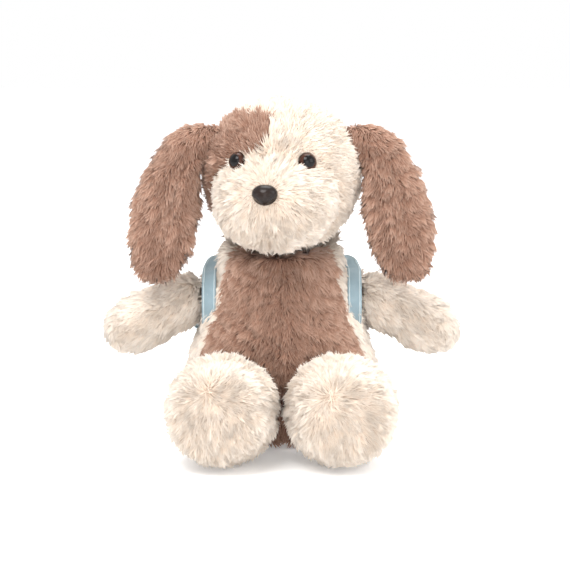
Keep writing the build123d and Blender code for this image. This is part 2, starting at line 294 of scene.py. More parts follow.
def range_node(tree: Tree, value: Socket, given: tuple[float, float] = (0.0, 1.0),
               wanted: tuple[float, float] = (0.0, 1.0)) -> Socket:
    """Add a map from the given range to the wanted one, and return its socket."""
    node = tree.nodes.new("ShaderNodeMapRange")
    set_inputs(node, {"From Min": given[0], "From Max": given[1], "To Min": wanted[0], "To Max": wanted[1]})
    join(tree, value, node.inputs["Value"])
    return node.outputs[0]


def add_bump(tree: Tree, height: Socket, shader: Node,
             strength: float, distance: float) -> None:
    """Add a bump of this height to the shader's normal."""
    bump = tree.nodes.new("ShaderNodeBump")
    set_inputs(bump, {"Strength": strength, "Distance": distance})
    join(tree, height, bump.inputs["Height"])
    join(tree, bump.outputs[0], shader.inputs["Normal"])


def value_node(tree: Tree, colour: Socket, value: Socket) -> Socket:
    """Brighten or darken a colour by a value, and return the result's socket."""
    node = tree.nodes.new("ShaderNodeHueSaturation")
    join(tree, colour, node.inputs["Color"])
    join(tree, value, node.inputs["Value"])
    return node.outputs[0]


def ramp_node(tree: Tree, value: Socket, stops: Sequence[tuple[float, Colour]]) -> Socket:
    """Turn a value into a colour between these stops, and return its socket."""
    node = tree.nodes.new("ShaderNodeValToRGB")
    ramp = node.color_ramp
    ramp.elements.remove(ramp.elements[-1])
    ramp.elements[0].position = stops[0][0]
    ramp.elements[0].color = (*stops[0][1], 1.0)
    for place, colour in stops[1:]:
        ramp.elements.new(place).color = (*colour, 1.0)
    join(tree, value, node.inputs[0])
    return node.outputs[0]


def weave_group() -> Tree:
    """The node group of crossed threads: a height, and a slow fade from place to place."""
    if "weave" in bpy.data.node_groups:
        return bpy.data.node_groups["weave"]
    tree = bpy.data.node_groups.new("weave", "ShaderNodeTree")
    threads = tree.interface.new_socket("Threads", in_out="INPUT", socket_type="NodeSocketFloat")
    threads.default_value = 1500.0
    tree.interface.new_socket("Height", in_out="OUTPUT", socket_type="NodeSocketFloat")
    tree.interface.new_socket("Fade", in_out="OUTPUT", socket_type="NodeSocketFloat")
    given = tree.nodes.new("NodeGroupInput")
    result = tree.nodes.new("NodeGroupOutput")
    grow = tree.nodes.new("ShaderNodeVectorMath")
    grow.operation = "SCALE"
    join(tree, place_socket(tree), grow.inputs[0])
    join(tree, given.outputs["Threads"], grow.inputs["Scale"])
    split = tree.nodes.new("ShaderNodeSeparateXYZ")
    join(tree, grow.outputs[0], split.inputs[0])
    rows = [math_node(tree, "SINE", split.outputs[axis]) for axis in ("X", "Z")]
    cross = range_node(tree, math_node(tree, "MULTIPLY", *rows), given=(-1.0, 1.0))
    slubs = noise_node(tree, 260.0, 4.0)
    height = math_node(tree, "MULTIPLY_ADD", slubs, 0.5, math_node(tree, "MULTIPLY", cross, 0.65))
    join(tree, height, result.inputs["Height"])
    fade = range_node(tree, noise_node(tree, 60.0, 3.0), wanted=(0.85, 1.15))
    join(tree, fade, result.inputs["Fade"])
    return tree


class Shelf:
    """Materials made once and used by every piece that has the finish."""

    made: dict[str, Material] = {}

    @classmethod
    def take(cls, maker: Callable[[], Material]) -> Material:
        """The material that this method makes, made on first use."""
        key = f"{maker.__self__.name}.{maker.__name__}"
        if key not in cls.made:
            cls.made[key] = maker()
        return cls.made[key]


# ---- Mesh helpers ----
def unit(vectors: Array) -> Array:
    """Scale each row to length one."""
    return vectors / np.maximum(np.linalg.norm(vectors, axis=-1, keepdims=True), 1e-9)


def rise(value: Array, start: float, end: float) -> Array:
    """Go smoothly from 0 at start to 1 at end."""
    share = np.clip((value - start) / (end - start), 0, 1)
    return share * share * (3 - 2 * share)


def groove(distance: Array, width: float) -> Array:
    """A rounded groove's share of its depth at a distance from its middle."""
    return np.exp(-((distance / width) ** 2))


def waves(points: Array, wavelength: float, seed: int) -> Array:
    """A smooth vector field.

    Args:
        points: places in millimetres.
        wavelength: the size of its features in millimetres.
        seed: picks the field.

    Returns:
        One vector for each place, each part from about -1 to 1.
    """
    rng = np.random.default_rng(seed)
    total = np.zeros_like(points)
    for _ in range(6):
        direction = unit(rng.normal(size=(3, 3)))
        phase = rng.uniform(0, 2 * math.pi, 3)
        step = 2 * math.pi / (wavelength * rng.uniform(0.7, 1.5))
        total += np.sin(points @ direction.T * step + phase)
    return total / 3.0


def read_rows(rows: bpy.types.bpy_prop_collection, name: str, width: int = 3, kind: type = float) -> Array:
    """Read one property of every row of mesh data.

    Args:
        rows: the vertices, edges, faces or normals.
        name: the property.
        width: how many numbers it has.
        kind: their type.

    Returns:
        One line of numbers for each row.
    """
    values = np.empty(len(rows) * width, dtype=kind)
    rows.foreach_get(name, values)
    return values.reshape(-1, width)


def turned(points: Array, degrees: float) -> Array:
    """Turn places about Z."""
    cos, sin = math.cos(math.radians(degrees)), math.sin(math.radians(degrees))
    x, y, z = points.T
    return np.stack([x * cos - y * sin, x * sin + y * cos, z], axis=1)


def get_points(obj: Piece) -> Array:
    """Read a mesh's vertices, in millimetres."""
    return read_rows(obj.data.vertices, "co") / MM


def set_points(obj: Piece, points: Array) -> None:
    """Write a mesh's vertices, given in millimetres."""
    obj.data.vertices.foreach_set("co", np.ascontiguousarray(points * MM, dtype=np.float32).ravel())
    obj.data.update()


def get_normals(obj: Piece) -> Array:
    """Read a mesh's vertex normals."""
    return read_rows(obj.data.vertex_normals, "vector")


def link(name: str, data: bpy.types.ID) -> Piece:
    """Put new data in the scene, and return its object."""
    obj = bpy.data.objects.new(name, data)
    bpy.context.scene.collection.objects.link(obj)
    return obj


def pick(obj: Piece) -> None:
    """Select this object alone, and make it the active one."""
    for other in bpy.context.view_layer.objects:
        other.select_set(False)
    obj.select_set(True)
    bpy.context.view_layer.objects.active = obj


def edit_all(obj: Piece, *steps: Callable[[], object]) -> None:
    """Take steps in edit mode, each on the whole mesh."""
    pick(obj)
    bpy.ops.object.mode_set(mode="EDIT")
    for step in steps:
        bpy.ops.mesh.select_all(action="SELECT")
        step()
    bpy.ops.object.mode_set(mode="OBJECT")


def face_out(obj: Piece) -> None:
    """Turn every face outward."""
    edit_all(obj, lambda: bpy.ops.mesh.normals_make_consistent(inside=False))


def merge_doubles(obj: Piece, distance: float, *before: Callable[[], object]) -> None:
    """Take any steps first, then merge vertices nearer to each other than a distance in millimetres."""
    edit_all(obj, *before, lambda: bpy.ops.mesh.remove_doubles(threshold=distance * MM))


def apply_modifier(obj: Piece, name: str) -> None:
    """Apply one modifier."""
    pick(obj)
    bpy.ops.object.modifier_apply(modifier=name)


def smooth_shade(obj: Piece) -> None:
    """Shade all of a piece smooth."""
    pick(obj)
    bpy.ops.object.shade_smooth()


def finish(obj: Piece, maker: Callable[[], Material]) -> None:
    """Shade a piece smooth and give it its material."""
    smooth_shade(obj)
    obj.data.materials.append(Shelf.take(maker))


def declare(obj: Piece, body: str, nodes: tuple[str, ...] = ()) -> None:
    """Hide the CAD nodes that a piece stands for, and attach it to its body.

    Args:
        obj: the piece.
        body: the CAD body that it moves with.
        nodes: the CAD nodes that it stands for, if any.
    """
    if nodes:
        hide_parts(*nodes)
    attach(obj, body)


def relax(obj: Piece, times: int, factor: float = 0.5) -> None:
    """Smooth a mesh's shape."""
    smooth = obj.modifiers.new("relax", "SMOOTH")
    smooth.factor = factor
    smooth.iterations = times
    apply_modifier(obj, "relax")


def copy_of(name: str, nodes: tuple[str, ...]) -> Piece:
    """One mesh of all these CAD nodes, with their doubled corners merged.

    Args:
        name: the new piece's name.
        nodes: the CAD nodes that it starts from.

    Returns:
        The new piece.
    """
    parts = []
    for node in nodes:
        source = bpy.data.objects[FrameNodes.names[node]]
        mesh = source.data.copy()
        mesh.materials.clear()
        parts.append(link(name, mesh))
    pick(parts[0])
    for part in parts:
        part.select_set(True)
    if len(parts) > 1:
        bpy.ops.object.join()
    obj = bpy.context.view_layer.objects.active
    obj.name = name
    obj.data.name = name
    merge_doubles(obj, 0.02)
    for layer in list(obj.data.uv_layers):
        obj.data.uv_layers.remove(layer)
    return obj


class FrameNodes:
    """The names of the loaded CAD nodes' objects."""

    names: dict[str, str] = {}


def remesh(obj: Piece, voxel: float) -> None:
    """Turn a mesh into one even closed skin, without what it encloses."""
    grid = obj.modifiers.new("remesh", "REMESH")
    grid.mode = "VOXEL"
    grid.voxel_size = voxel * MM
    apply_modifier(obj, "remesh")
    keep_largest(obj)


def keep_largest(obj: Piece) -> None:
    """Remove every loose part but the one with the most vertices."""
    mesh = obj.data
    edges = read_rows(mesh.edges, "vertices", 2, np.int64)
    label = np.arange(len(mesh.vertices))
    while True:
        low = np.minimum(label[edges[:, 0]], label[edges[:, 1]])
        fresh = label.copy()
        np.minimum.at(fresh, edges[:, 0], low)
        np.minimum.at(fresh, edges[:, 1], low)
        fresh = fresh[fresh]
        if (fresh == label).all():
            break
        label = fresh
    counts = np.bincount(label)
    if (counts > 0).sum() == 1:
        return
    loose = label != counts.argmax()
    pick(obj)
    mesh.vertices.foreach_set("select", loose)
    mesh.edges.foreach_set("select", loose[edges[:, 0]])
    mesh.polygons.foreach_set("select", [bool(loose[f.vertices[0]]) for f in mesh.polygons])
    bpy.ops.object.mode_set(mode="EDIT")
    bpy.ops.mesh.select_mode(type="VERT")
    bpy.ops.mesh.delete(type="VERT")
    bpy.ops.object.mode_set(mode="OBJECT")


def inflate(obj: Piece, seams: Array, cap: float) -> None:
    """Blow the skin up as cloth, held along its seams.

    Args:
        obj: the skin.
        seams: one at vertices that a seam holds, zero elsewhere.
        cap: the most that a vertex may move, in millimetres.
    """
    before = get_points(obj)
    group = obj.vertex_groups.new(name="seams")
    group.add([int(i) for i in np.flatnonzero(seams > 0.5)], 1.0, "REPLACE")
    cloth = obj.modifiers.new("puff", "CLOTH")
    settings = {"quality": 4, "mass": 0.15, "tension_stiffness": 12.0, "compression_stiffness": 12.0,
                "bending_stiffness": 1.0, "use_pressure": True, "uniform_pressure_force": 4.0,
                "vertex_group_mass": "seams"}
    for name, value in settings.items():
        setattr(cloth.settings, name, value)
    cloth.settings.effector_weights.gravity = 0.0
    cloth.point_cache.frame_start = 1
    cloth.point_cache.frame_end = PUFF_FRAMES
    scene = bpy.context.scene
    for frame in range(1, PUFF_FRAMES + 1):
        scene.frame_set(frame)
    apply_modifier(obj, "puff")
    scene.frame_set(1)
    obj.vertex_groups.clear()
    moved = get_points(obj) - before
    size = np.linalg.norm(moved, axis=1, keepdims=True)
    set_points(obj, before + moved * np.minimum(1.0, cap / np.maximum(size, 1e-6)))


def subdivide(obj: Piece) -> None:
    """Divide every face once, smoothly."""
    finer = obj.modifiers.new("finer", "SUBSURF")
    finer.levels = 1
    finer.render_levels = 1
    apply_modifier(obj, "finer")


# ---- Pile ----
@dataclass
class Pile:
    """Combed tufts over one region of a skin.

    Attributes:
        name: the piece's name.
        cloth: the pile cloth.
        seed: picks the tufts.
        stray: how far tufts wander from the combed direction.
        most: the most tufts in a piece.
    """

    name: str
    cloth: PileCloth
    seed: int
    stray: float = 0.34
    most: int = 48000

    def grow(self, skin: Piece, comb: Callable[[Array, Array], Array],
             keep: Field, trim: Field) -> Piece:
        """Grow the tufts.

        Args:
            skin: the mesh that they stand on.
            comb: gives the combed direction from places and normals.
            keep: the share of tufts at a place, from 0 to 1.
            trim: a place's share of the full length.

        Returns:
            The piece, a mesh of bent tapering tufts.
        """
        rng = np.random.default_rng(self.seed)
        points = get_points(skin)
        normals = get_normals(skin)
        skin.data.calc_loop_triangles()
        triangles = read_rows(skin.data.loop_triangles, "vertices", kind=np.int64)
        corners = points[triangles]
        sides = corners[:, 1:] - corners[:, :1]
        areas = 0.5 * np.linalg.norm(np.cross(sides[:, 0], sides[:, 1]), axis=1) * keep(corners.mean(axis=1))
        count = int(min(areas.sum() * self.cloth.density, self.most))
        chosen = rng.choice(len(triangles), size=count, p=areas / areas.sum())
        first, second = rng.uniform(size=(2, count))
        fold = first + second > 1
        first[fold] = 1 - first[fold]
        second[fold] = 1 - second[fold]
        weights = np.stack([1 - first - second, first, second], axis=1)[:, :, None]
        root = (corners[chosen] * weights).sum(axis=1)
        normal = unit((normals[triangles[chosen]] * weights).sum(axis=1))
        held = keep(root) > 0
        root, normal = root[held], normal[held]
        return self.build(root, normal, unit(comb(root, normal)), trim(root), rng)

    def build(self, root: Array, normal: Array, way: Array, trim: Array,
              rng: np.random.Generator) -> Piece:
        """Build the tufts from their roots.

        Args:
            root: the tufts' roots in millimetres.
            normal: the skin's normals there.
            way: the combed directions there.
            trim: each tuft's share of the full length.
            rng: the source of what differs from tuft to tuft.

        Returns:
            The piece.
        """
        count = len(root)
        swirl = waves(root, 16.0, self.seed) + 0.9 * waves(root, 6.0, self.seed + 7)
        way = way + self.stray * (0.8 * swirl + 0.55 * rng.normal(size=(count, 3)))
        way = unit(way - (way * normal).sum(axis=1, keepdims=True) * normal)
        clump = waves(root, 7.0, self.seed + 3)[:, :1]
        lift = self.cloth.lift * (1 + 0.45 * clump + 0.25 * rng.normal(size=(count, 1)))
        lift = np.clip(lift, 0.12, 0.9)
        share = np.clip(0.92 + 0.14 * clump + 0.2 * rng.normal(size=(count, 1)), 0.45, 1.4)
        length = self.cloth.length / MM * share * trim[:, None]
        gather = waves(root, 3.2, self.seed + 5) * 0.16
        up = unit(way * (1 - lift) + normal * lift * 1.35)
        over = unit(way + normal * lift * 0.35 + gather)
        across = unit(np.cross(normal, way))
        half = self.cloth.width / MM * 0.5 * rng.uniform(0.7, 1.3, size=(count, 1))
        bend = root + up * length * 0.5
        tip = bend + over * length * 0.55
        ridge = bend + normal * half * 0.5
        points = np.stack([root - across * half, root + across * half, ridge, tip], axis=1).reshape(-1, 3)
        faces = np.array([[0, 3, 2], [2, 3, 1], [1, 3, 0], [0, 2, 1]])
        triangles = (np.arange(count)[:, None, None] * TUFT_POINTS + faces[None]).reshape(-1, 3)
        obj = mesh_object(self.name, points, triangles)
        patchy = 0.05 * waves(root, 24.0, self.seed + 9)[:, 0]
        # painted light: tufts in the raised clumps (clump also lifts and lengthens them) are brighter; the normal
        # and patchy terms are random tone
        shade = (1.0 + 0.06 * clump[:, 0] + 0.05 * rng.normal(size=count) + patchy).clip(DARKEST, BRIGHTEST)
        shade = np.repeat(shade, TUFT_POINTS)
        along = np.tile(np.array([0.0, 0.0, 0.5, 1.0]), count)
        store(obj, "along", along)
        store(obj, "shade", shade)
        lean = np.tile(np.array([-0.5, 0.5, 0.0, 0.0]), count)
        soft = np.repeat(normal, TUFT_POINTS, axis=0) * 0.9 + np.repeat(across, TUFT_POINTS, axis=0) * lean[:, None]
        soft = unit(soft + np.repeat(unit(normal + 0.9 * (over - way)), TUFT_POINTS, axis=0) * 0.35)
        obj.data.normals_split_custom_set_from_vertices(soft.tolist())
        places = np.stack([0.05 + (shade - DARKEST) * 2.25 + 0.016 * lean, 0.03 + 0.94 * along], axis=1)
        loops = read_rows(obj.data.loops, "vertex_index", 1, np.int32)[:, 0]
        layer = obj.data.uv_layers.new(name="OFBake")
        layer.data.foreach_set("uv", places[loops].astype(np.float32).ravel())
        obj.data.materials.append(Shelf.take(self.cloth.tufts))
        LOG.info("%s: %d tufts", self.name, count)
        return obj


def mesh_object(name: str, points: Array, triangles: Array) -> Piece:
    """Make a smooth-shaded piece from places in millimetres and triangles."""
    mesh = bpy.data.meshes.new(name)
    mesh.vertices.add(len(points))
    mesh.vertices.foreach_set("co", (points * MM).astype(np.float32).ravel())
    mesh.loops.add(triangles.size)
    mesh.loops.foreach_set("vertex_index", triangles.astype(np.int32).ravel())
    mesh.polygons.add(len(triangles))
    mesh.polygons.foreach_set("loop_start", np.arange(0, triangles.size, 3, dtype=np.int32))
    mesh.polygons.foreach_set("use_smooth", np.ones(len(triangles), dtype=bool))
    mesh.update(calc_edges=True)
    return link(name, mesh)


def store(obj: Piece, name: str, values: Array) -> None:
    """Store one number at each vertex."""
    layer = obj.data.attributes.new(name, "FLOAT", "POINT")
    layer.data.foreach_set("value", values.astype(np.float32))


# ---- Stuffed parts ----
# Places where parts are sewn on, in millimetres, for the left side
HEAD_CENTRE: Point = (0.0, -2.0, 167.0)
SHOULDER: Point = (61.0, 4.0, 87.0)
HIP: Point = (30.0, -43.0, 31.0)
SHORT = 0.22  # the pile's share of its full length where the dog sits on it


@dataclass
class StuffedPart:
    """A stuffed part: one backing skin and the pile on it.

    Attributes:
        name: the part's name.
        body: the CAD body that it moves with.
        panels: the CAD panels that it stands for.
        filling: the CAD fillings that only help to shape the skin.
        seed: picks the tufts.
        inset: how far the backing lies inside the panels' outer face, in millimetres.
        voxel: the size of the skin's faces, in millimetres.
        puff: the most that the stuffing swells the skin, in millimetres.
        fill: how tight the stuffing is; not used.
    """

    name: str
    body: str
    panels: tuple[str, ...]
    filling: tuple[str, ...]
    seed: int
    inset: float = 3.7
    voxel: float = 4.0
    puff: float = 1.6
    fill: float = 0.7
    skin: Piece = field(init=False, default=None)

    def build(self) -> None:
        """Shape the skin, puff it up, draw its seams in and grow its pile."""
        self.skin = copy_of(self.name + "_backing", self.panels + self.filling)
        remesh(self.skin, self.voxel)
        relax(self.skin, 6)
        set_points(self.skin, get_points(self.skin) - get_normals(self.skin) * self.inset)
        relax(self.skin, 3)
        inflate(self.skin, self.seam(get_points(self.skin)), self.puff)
        relax(self.skin, 2)
        subdivide(self.skin)
        set_points(self.skin, self.sculpt(get_points(self.skin), get_normals(self.skin)))
        smooth_shade(self.skin)
        self.dress()
        self.grow()

    def seam(self, points: Array) -> Array:
        """One near a seam, zero elsewhere."""
        return np.zeros(len(points))

    def sculpt(self, points: Array, normals: Array) -> Array:
        """Fine shaping of the finished skin."""
        return points

    def brown(self, points: Array) -> Array:
        """One where the pile is brown, zero where it is cream."""
        return np.zeros(len(points))

    def bare(self, points: Array) -> Array:
        """One where no pile grows, zero elsewhere."""
        return np.zeros(len(points))

    def comb(self, points: Array, normals: Array) -> Array:
        """The combed direction."""
        return np.tile(np.array([0.0, 0.0, -1.0]), (len(points), 1))

    def trim(self, points: Array) -> Array:
        """The share of the full length, short where the dog sits."""
        return np.where(points[:, 2] < 6.0, SHORT, 1.0)

    def regions(self) -> list[Region]:
        """The piles: each one's name, cloth, place and the CAD panels that it stands for."""
        return [("pile", CREAM, lambda p: 1 - self.brown(p), self.panels)]

    def dress(self) -> None:
        # the backing materials paint shade in the gaps between the tufts
        self.skin.data.materials.append(Shelf.take(CREAM.backing))
        self.skin.data.materials.append(Shelf.take(BROWN.backing))
        brown = self.brown(read_rows(self.skin.data.polygons, "center") / MM)
        self.skin.data.polygons.foreach_set("material_index", brown.astype(np.int32))
        declare(self.skin, self.body, self.panels)

    def grow(self) -> None:
        """Grow every pile of the part."""
        for number, (name, cloth, place, panels) in enumerate(self.regions()):
            def keep(p: Array, place: Field = place) -> Array:
                """The share of tufts at a place."""
                return place(p) * (1 - self.bare(p))
            pile = Pile(f"{self.name}_{name}", cloth, self.seed + 10 * number)
            tufts = pile.grow(self.skin, self.comb, keep, self.trim)
            declare(tufts, self.body, panels)


@dataclass
class Torso(StuffedPart):
    """The pear-shaped torso with its brown tummy.

    Attributes:
        edge: where the tummy meets the flanks: Y at a height, and how far it leans.
        sewn: where other parts are sewn on: a place, for the left side, and the radius without pile.
    """

    edge: Point = (-21.5, 38.0, 0.13)
    sewn: tuple[tuple[Point, float], ...] = ((HEAD_CENTRE, 41.0), (SHOULDER, 11.0), (HIP, 20.0))

    def edge_y(self, height: Array) -> Array:
        """Y of the tummy's edge at a height."""
        return self.edge[0] + (height - self.edge[1]) * self.edge[2]

    def brown(self, points: Array) -> Array:
        """The tummy is brown."""
        ripple = waves(points, 9.0, 5)[:, 0] * 0.8
        return (points[:, 1] < self.edge_y(points[:, 2]) + ripple).astype(float)

    def bare(self, points: Array) -> Array:
        """No pile grows where the head, arms and legs are sewn on."""
        bare = np.zeros(len(points), dtype=bool)
        for place, radius in self.sewn:
            for side in Side:
                bare |= np.linalg.norm(points - side.mirror(place), axis=1) < radius
        return bare.astype(float)

    def seam(self, points: Array) -> Array:
        """The tummy's centre seam, its edges, the back seam and the seat's edge."""
        x, y, z = points.T
        return ((np.abs(x) < 2.4) | (np.abs(y - self.edge_y(z)) < 2.2) | (z < 4)).astype(float)

    def sculpt(self, points: Array, normals: Array) -> Array:
        """Draw in the centre seams and keep the seat flat."""
        x, y, z = points.T
        depth = groove(x, 3.2) * rise(np.abs(y), 12.0, 26.0) * 1.3 * rise(z, 8.0, 20.0)
        points = points - normals * depth[:, None]
        points[:, 2] = np.maximum(points[:, 2], 1.0)
        return points

    def comb(self, points: Array, normals: Array) -> Array:
        """Down the torso, and away from the tummy's centre seam."""
        x = points[:, 0]
        away = np.sign(x) * (0.16 + 0.7 * np.clip(np.abs(x) / 35, 0, 1))
        return np.stack([away, np.zeros_like(x), -np.ones_like(x)], axis=1)

    def trim(self, points: Array) -> Array:
        """Short at the seams and under the seat, and under the rucksack."""
        x, y, z = points.T
        under = (y > 30) & (np.abs(x) < 34) & (z > 55) & (z < 110)
        seam = (1 - 0.22 * groove(x, 3.0) * (y < -12)) * (1 + 0.35 * rise(z, 108, 120))
        return seam * np.where(z < 6, SHORT, 1.0) * np.where(under, 0.4, 1.0)

    def regions(self) -> list[Region]:
        """The tummy and the two flanks."""
        def cream(p: Array) -> Array:
            """Both flanks."""
            return 1 - self.brown(p)

        return [
            ("tummy_pile", BROWN, self.brown, ("tummy_panel_left", "tummy_panel_right")),
            ("flank_pile_left", CREAM, lambda p: cream(p) * (p[:, 0] > 0), ("side_panel_left", "seat_panel")),
            ("flank_pile_right", CREAM, lambda p: cream(p) * (p[:, 0] <= 0), ("side_panel_right", "seat_panel")),
        ]


@dataclass
class Head(StuffedPart):
    """The round head with its broad muzzle and the brown patch over one eye.

    Attributes:
        centre: the head's centre.
        yaw: how far the face is turned, in degrees.
        muzzle: the muzzle's centre from the head's, in the face's own frame.
        muzzle_size: the muzzle's half-width and radius.
        skull: the head's radius.
        eye: how far an eye sits across and up from the head's centre.
        nose: where the nose sits, in the face's own frame.
        nose_size: the nose's half-width, depth and half-height.
        crown: Y of the crown's seam, in the face's own frame.
    """

    centre: Point = HEAD_CENTRE
    yaw: float = -8.0
    muzzle: Point = (0.0, -33.0, -15.0)
    muzzle_size: tuple[float, float] = (38.0, 30.5)
    skull: float = 49.5
    eye: tuple[float, float] = (22.3, 11.2)
    nose: Point = (-1.5, -61.8, -7.5)
    nose_size: Point = (7.6, 8.0, 5.4)
    crown: float = 6.0

    def face(self, points: Array) -> Array:
        """Places in the face's own frame, from the head's centre."""
        return turned(points - np.array(self.centre), -self.yaw)

    def world(self, points: Array) -> Array:
        """Directions of the face's own frame, turned to the dog's."""
        return turned(points, self.yaw)

    def nose_reach(self, face: Array) -> Array:
        """How far out a place is from the nose's centre, one at the edge of its bare ground."""
        return np.linalg.norm((face - np.array(self.nose)) / np.array(self.nose_size), axis=1)

    def eye_place(self, side: Side) -> Array:
        """Where an eye sits on the skull, in the face's own frame."""
        across, up = self.eye
        return np.array([across * side.value, -math.sqrt(self.skull ** 2 - across ** 2 - up ** 2), up])

    def muzzle_reach(self, face: Array) -> Array:
        """How far out a place is from the muzzle's centre, one at the muzzle's surface."""
        size = np.array([self.muzzle_size[0], self.muzzle_size[1], self.muzzle_size[1]])
        return np.linalg.norm((face - np.array(self.muzzle)) / size, axis=1)

    def on_muzzle(self, face: Array) -> Array:
        """One on the muzzle, zero elsewhere; it rises to a point between the eyes."""
        x, y, z = face.T
        peak = (np.abs(x) < 9 * (1 - rise(z, 2, 20))) & (z < 20) & (z > -10) & (y < -25)
        return ((self.muzzle_reach(face) < 1.02) | peak).astype(float)

    def brown(self, points: Array) -> Array:
        """The patch over the right eye is brown."""
        face = self.face(points)
        x, y, z = face.T
        edge = np.interp(z, [5.0, 14.0, 24.0, 34.0, 40.0], [-16.0, -7.5, -3.0, -2.0, -6.0])
        edge = edge + waves(points, 9.0, 8)[:, 0] * 0.8
        patch = (x < edge) & (y < self.crown) & (z < 37.5 + waves(points, 9.0, 9)[:, 0])
        return (patch & (self.on_muzzle(face) < 0.5)).astype(float)

    def bare(self, points: Array) -> Array:
        """No pile grows under the eyes and nose, or inside the neck."""
        face = self.face(points)
        bare = (np.hypot(face[:, 0], face[:, 1]) < 13) & (face[:, 2] < -38)
        for side in Side:
            eye = self.eye_place(side)
            bare |= (np.linalg.norm(face - eye, axis=1) < 5.4) & (self.on_muzzle(face) < 0.5)
        bare |= self.nose_reach(face) < 1
        return bare.astype(float)

    def seam(self, points: Array) -> Array:
        """The muzzle's edge, the crown's seam and the seam down the back."""
        face = self.face(points)
        x, y, _ = face.T
        edge = np.abs(self.muzzle_reach(face) - 1.04) < 0.05
        return (edge | ((np.abs(x) < 2.2) & (y > 0)) | (np.abs(y - self.crown) < 2.2)).astype(float)

    def sculpt(self, points: Array, normals: Array) -> Array:
        """Flatten the crown a little, draw in the muzzle's edge and the line under the nose."""
        face = self.face(points)
        x, y, z = face.T
        edge = groove((self.muzzle_reach(face) - 1.05) * 30, 3.0) * (y < -15) * 2.4
        line = groove(x, 2.2) * (self.muzzle_reach(face) < 1.05) * rise(-z, 12, 24) * 1.2
        points = points - normals * (edge + line)[:, None]
        points[:, 2] -= rise(z, 20, 50) * 0.5
        return points

    def comb(self, points: Array, normals: Array) -> Array:
        """Out from the nose on the muzzle, and up and back from between the eyes over the rest."""
        face = self.face(points)
        nose = np.array([-1.0, -58.0, -7.0])
        bridge = np.array([-1.0, -46.0, 4.0])
        out = unit(face - nose) + np.array([0.0, 0.0, -0.15])
        down = unit(face - bridge) + np.array([0.0, 0.35, -0.1])
        share = rise(self.muzzle_reach(face), 1.0, 1.12)[:, None]
        return self.world(out * (1 - share) + down * share)

    def trim(self, points: Array) -> Array:
        """Shorter round the eyes and the nose."""
        face = self.face(points)
        near = np.ones(len(points))
        for side in Side:
            eye = self.eye_place(side)
            close = 0.45 + 0.55 * rise(np.linalg.norm(face - eye, axis=1), 6, 15)
            near = np.where(self.on_muzzle(face) > 0.5, near, np.minimum(near, close))
        return np.minimum(near, 0.4 + 0.6 * rise(self.nose_reach(face), 1, 2.4))

    def regions(self) -> list[Region]:
        """The patch, the muzzle, the forehead and the back of the head."""
        def muzzle(p: Array) -> Array:
            """The muzzle."""
            return self.on_muzzle(self.face(p))

        def rest(p: Array) -> Array:
            """The cream pile off the muzzle."""
            return (1 - muzzle(p)) * (1 - self.brown(p))

        return [
            ("patch_pile", BROWN, self.brown, ("face_patch_panel",)),
            ("muzzle_pile", CREAM, muzzle, ("muzzle_panel",)),
            ("forehead_pile", CREAM, lambda p: rest(p) * (self.face(p)[:, 1] < self.crown), ("forehead_panel",)),
            ("back_pile", CREAM, lambda p: rest(p) * (self.face(p)[:, 1] >= self.crown),
             ("back_head_panel_left", "back_head_panel_right")),
        ]


@dataclass
class Ear(StuffedPart):
    """One long ear, with a soft fold down its front.

    Attributes:
        side: which ear.
        line: the ear's centre line from root to tip, for the left ear.
    """

    side: Side = Side.LEFT
    line: tuple[Point, ...] = (
        (49.0, -6.0, 197.0), (60.0, -9.0, 186.0), (67.0, -15.0, 165.0), (71.5, -20.0, 146.0),
        (75.0, -26.0, 125.0), (77.5, -30.5, 111.0), (78.0, -33.0, 103.5))

    def middle(self, height: Array, axis: int) -> Array:
        """X (axis 0, for the left ear) or Y (axis 1) of the centre line at a height."""
        line = np.array(self.line)[::-1]
        return np.interp(height, line[:, 2], line[:, axis])

    def off_fold(self, points: Array) -> Array:
        """How far outward from the fold a place is."""
        return (points[:, 0] - self.middle(points[:, 2], 0) * self.side.value) * self.side.value + 3.0

    def brown(self, points: Array) -> Array:
        """An ear is all brown."""
        return np.ones(len(points))

    def sculpt(self, points: Array, normals: Array) -> Array:
        """Press the fold into the front, and widen the root where it is sewn along the head."""
        x, _, z = points.T
        long = rise(z, 118, 135) * (1 - rise(z, 176, 190))
        fold = groove(self.off_fold(points), 4.0) * long * (normals[:, 1] < 0)
        points = points - normals * (fold * 3.2)[:, None]
        inward = (self.middle(z, 0) * self.side.value - x) * self.side.value
        inner = np.clip(inward / 9.0 + 0.6, 0, 1) * rise(z, 168, 192)
        points[:, 0] -= inner * 15.0 * self.side.value
        points[:, 2] += inner * 2.0
        return points

    def comb(self, points: Array, normals: Array) -> Array:
        """Down the ear, and out from the fold."""
        off = self.off_fold(points)
        out = np.sign(off) * np.clip(np.abs(off) / 14, 0.15, 1.0) * self.side.value * 0.75
        out = out + 0.3 * self.side.value * rise(points[:, 2], 165, 190)
        return np.stack([out, np.full_like(out, -0.1), -np.ones_like(out)], axis=1)

    def trim(self, points: Array) -> Array:
        """Shorter at the root, where the ear is sewn on."""
        return 1 - 0.4 * rise(points[:, 2], 186, 198)

    def regions(self) -> list[Region]:
        """The front and the lining."""
        def front(p: Array) -> Array:
            """The half of the ear that faces forward."""
            return (p[:, 1] < self.middle(p[:, 2], 1)).astype(float)

        outer, lining = self.panels
        return [("outer_pile", BROWN, front, (outer,)), ("lining_pile", BROWN, lambda p: 1 - front(p), (lining,))]


